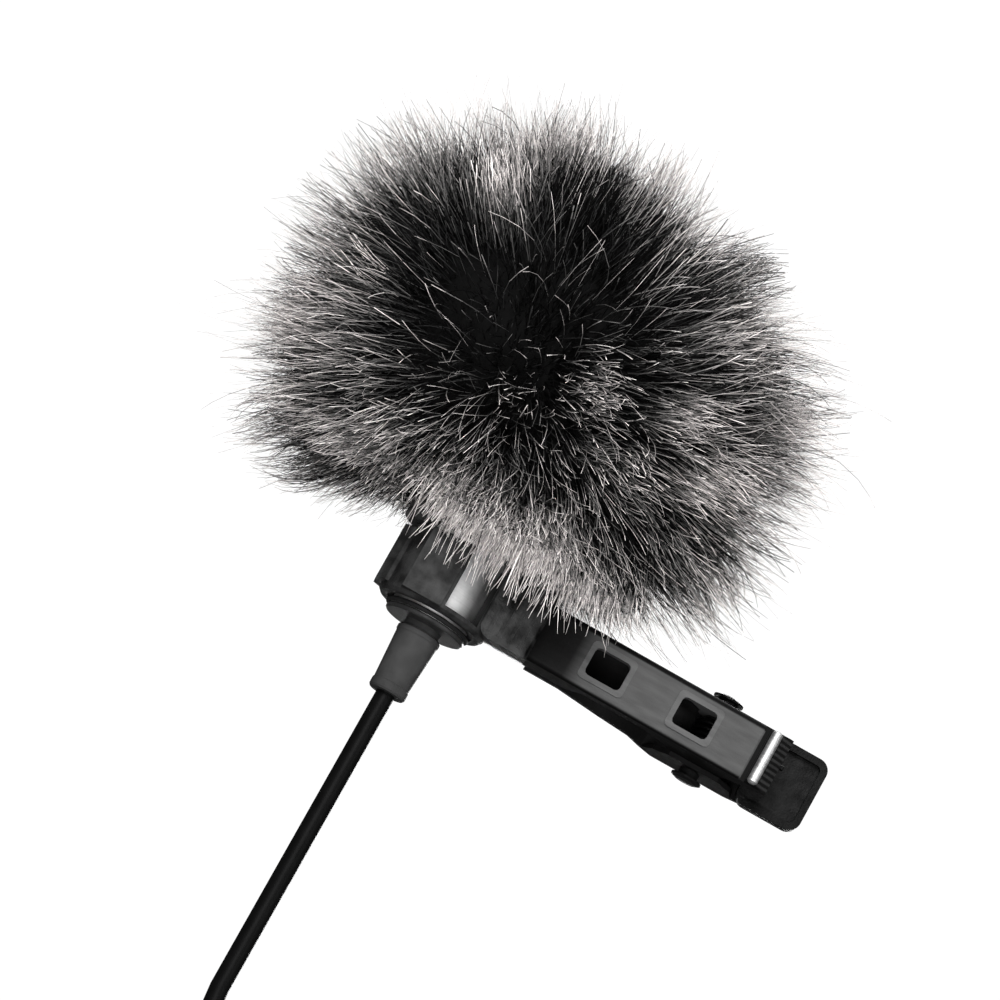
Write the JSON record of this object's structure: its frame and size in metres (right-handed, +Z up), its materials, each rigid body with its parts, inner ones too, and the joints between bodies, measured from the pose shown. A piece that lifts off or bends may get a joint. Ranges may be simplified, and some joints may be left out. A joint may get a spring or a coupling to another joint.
{
  "type": "lavalier microphone",
  "caption": "Small clip-on microphone with a round fur windscreen, a sprung metal clip, a strain relief and a coiled lead that ends in a plug.",
  "frame": {"origin": "middle of the clip's grip, between the two jaws, where a garment's edge is held", "axes": "+X along the clip from its jaws to its finger pads, -Y out of the clip's front plate, +Z up along the microphone from its cord to its windscreen"},
  "size_m": [0.0728, 0.0546, 0.1699],
  "materials": {
    "fur": "long pile, near-black at the root and pale grey at the tip",
    "knit": "fine knitted backing",
    "foam": "open-cell foam",
    "elastic": "ribbed elastic",
    "capsule_metal": "turned, bright",
    "mesh": "woven wire",
    "felt": "felt",
    "element_metal": "drawn can",
    "soft_rubber": "matt",
    "board": "solder mask",
    "jacket": "smooth, satin",
    "lead_insulation": "smooth",
    "cap_metal": "black, glossy",
    "boot_rubber": "satin",
    "clip_metal": "dark satin coat",
    "roll_metal": "polished",
    "ring_metal": "dark gloss coat",
    "block_metal": "dark, finely rough",
    "jaw_metal": "dark, toothed",
    "pin_metal": "dark gloss",
    "spring_steel": "drawn wire",
    "tie": "hook-and-loop strap",
    "plug_metal": "black, satin",
    "contact": "gold plated",
    "insulator": "moulded"
  },
  "bodies": {
    "clip_front": {"front_arm": "clip_metal", "thumb_roll": "roll_metal", "mic_ring": "ring_metal", "ring_liner": "soft_rubber", "ring_block": "block_metal", "front_jaw": "jaw_metal", "pivot_pin": "pin_metal", "pin_head_low": "pin_metal", "pin_head_top": "pin_metal", "spacer_tube": "pin_metal", "torsion_spring": "spring_steel"},
    "clip_back": {"back_arm": "clip_metal", "back_jaw": "jaw_metal", "press_pad": "clip_metal"},
    "windscreen": {"fur_pile": "fur", "fur_backing": "knit", "foam_liner": "foam", "neck_band": "elastic"},
    "microphone": {"housing_tube": "capsule_metal", "grille_cap": "capsule_metal", "mesh_disc": "mesh", "felt_disc": "felt", "electret_element": "element_metal", "element_holder": "soft_rubber", "circuit_board": "board", "cable_crimp": "element_metal", "inner_cable": "jacket", "signal_lead": "lead_insulation", "ground_lead": "lead_insulation", "end_cap": "cap_metal", "o_ring": "soft_rubber", "strain_relief": "boot_rubber", "cord_lead": "jacket", "cord_coil": "jacket", "cord_tail": "jacket", "cord_tie": "tie", "plug_boot": "boot_rubber", "plug_shell": "plug_metal", "plug_sleeve": "contact", "insulator_near": "insulator", "plug_ring": "contact", "insulator_far": "insulator", "plug_tip": "contact"}
  },
  "joints": [
    {"name": "clip_jaw", "type": "hinge", "parent": "clip_front", "child": "clip_back", "pos_m": [0.018, 0.0021, 0], "axis": [0, 0, -1], "range_deg": [0, 18], "stiffness_Nm_per_rad": 0.08, "springref_deg": -40.11, "deforming": ["torsion_spring"]},
    {"name": "mic_spin", "type": "hinge", "parent": "clip_front", "child": "microphone", "pos_m": [-0.0125, -0.0053, 0], "axis": [0, 0, 1], "continuous": true},
    {"name": "windscreen_pull", "type": "slide", "parent": "microphone", "child": "windscreen", "axis": [0, 0, 1], "range_m": [0, 0.03]}
  ]
}
